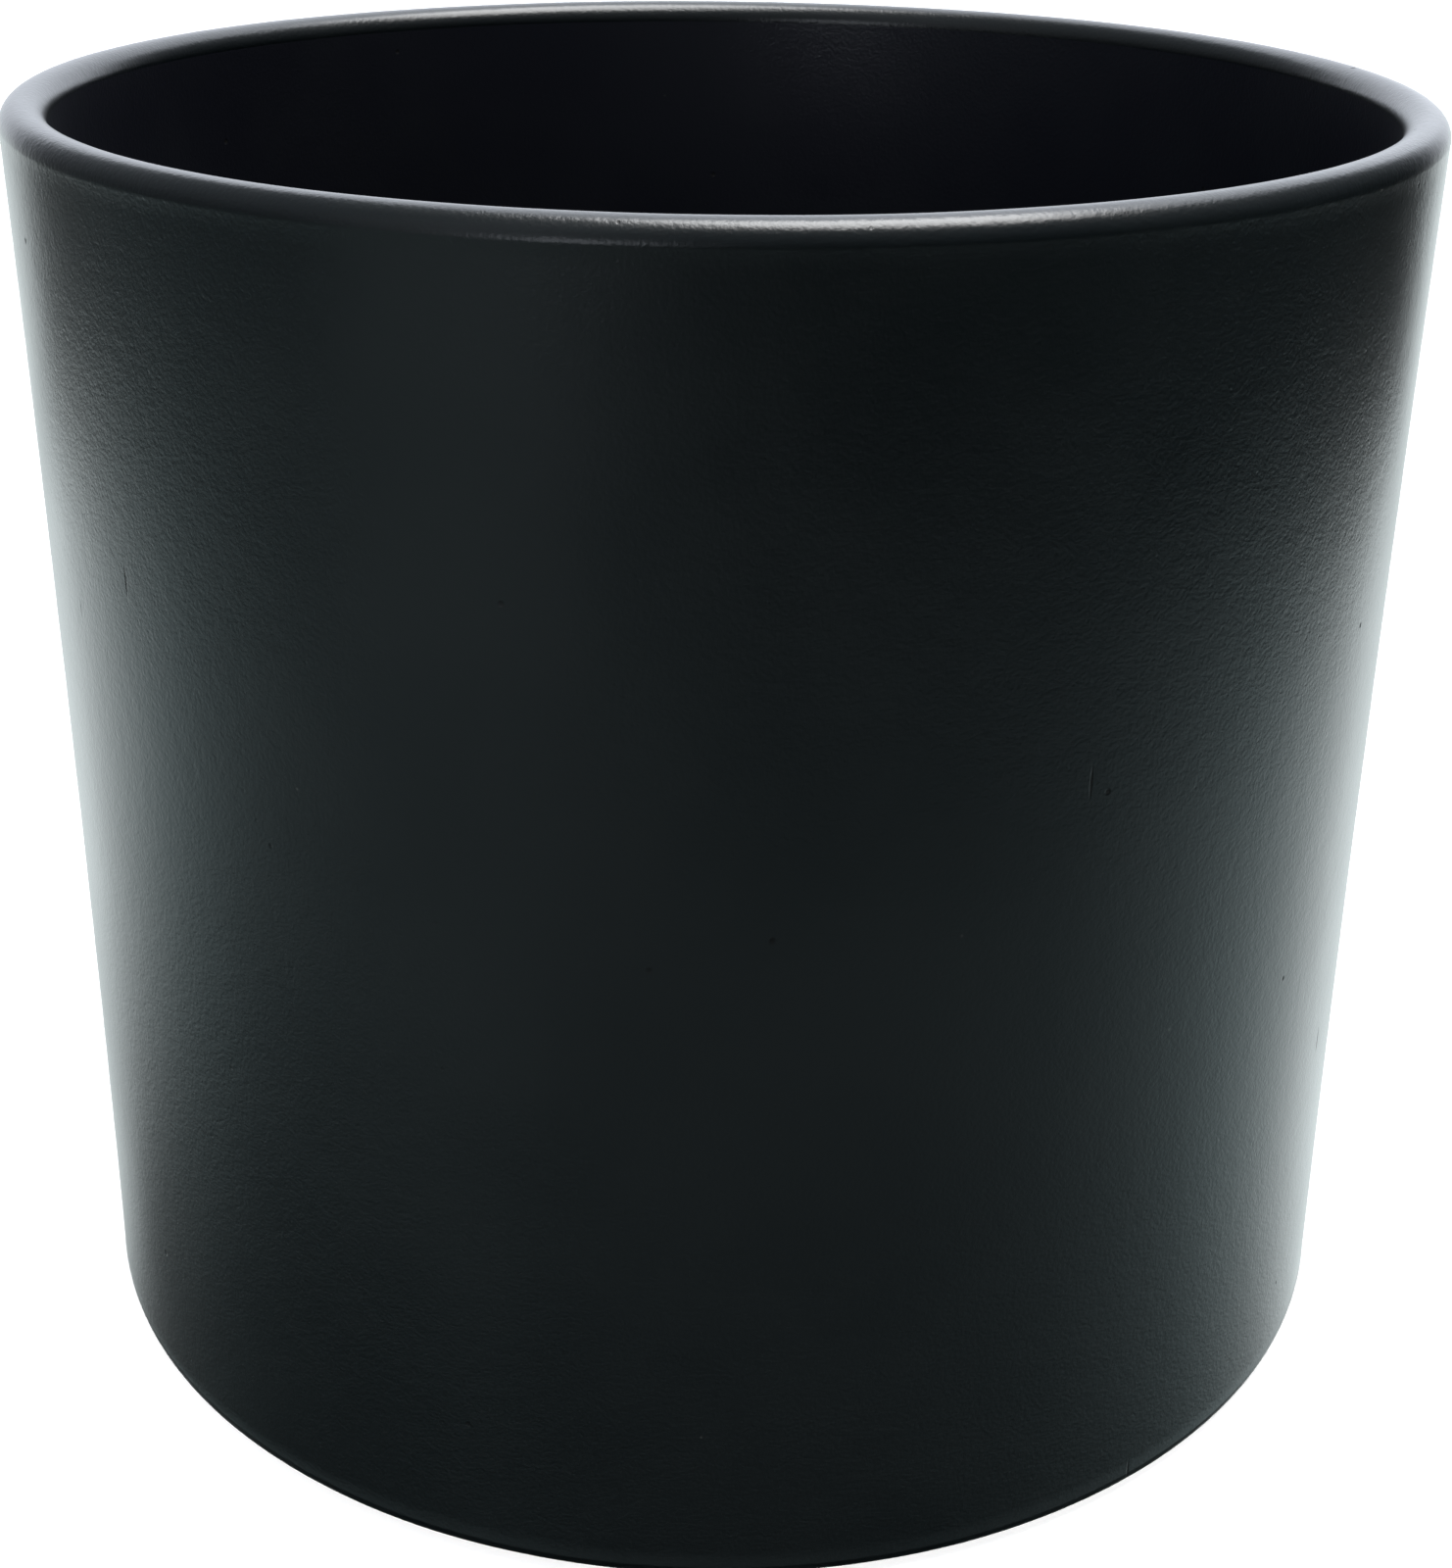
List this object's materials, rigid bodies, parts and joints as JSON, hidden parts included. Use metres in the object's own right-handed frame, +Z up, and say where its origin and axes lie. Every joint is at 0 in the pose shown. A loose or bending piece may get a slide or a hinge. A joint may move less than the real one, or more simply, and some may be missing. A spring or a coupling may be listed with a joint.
{
  "type": "candle jar",
  "caption": "Straight-sided round ceramic jar with a full-round rim and satin black glaze, open at the top, empty, for a poured candle.",
  "frame": {"origin": "centre of the foot ring, on the surface that the jar stands on", "axes": "+Z is up along the jar's axis and out of its mouth; the jar is round, so +X and +Y are alike"},
  "size_m": [0.1, 0.1, 0.092],
  "materials": {
    "bare_clay": "unglazed cream stoneware, matt and finely gritty, seen only on the foot ring",
    "outside_glaze": "satin black with a fine orange-peel texture and a few pinholes",
    "inside_glaze": "satin black, the same glaze poured inside",
    "underside_glaze": "thin matt black coat in the hollow under the base"
  },
  "bodies": {
    "root": {"clay_body": "bare_clay", "outer_glaze": "outside_glaze", "liner_glaze": "inside_glaze", "base_glaze": "underside_glaze"}
  },
  "joints": []
}
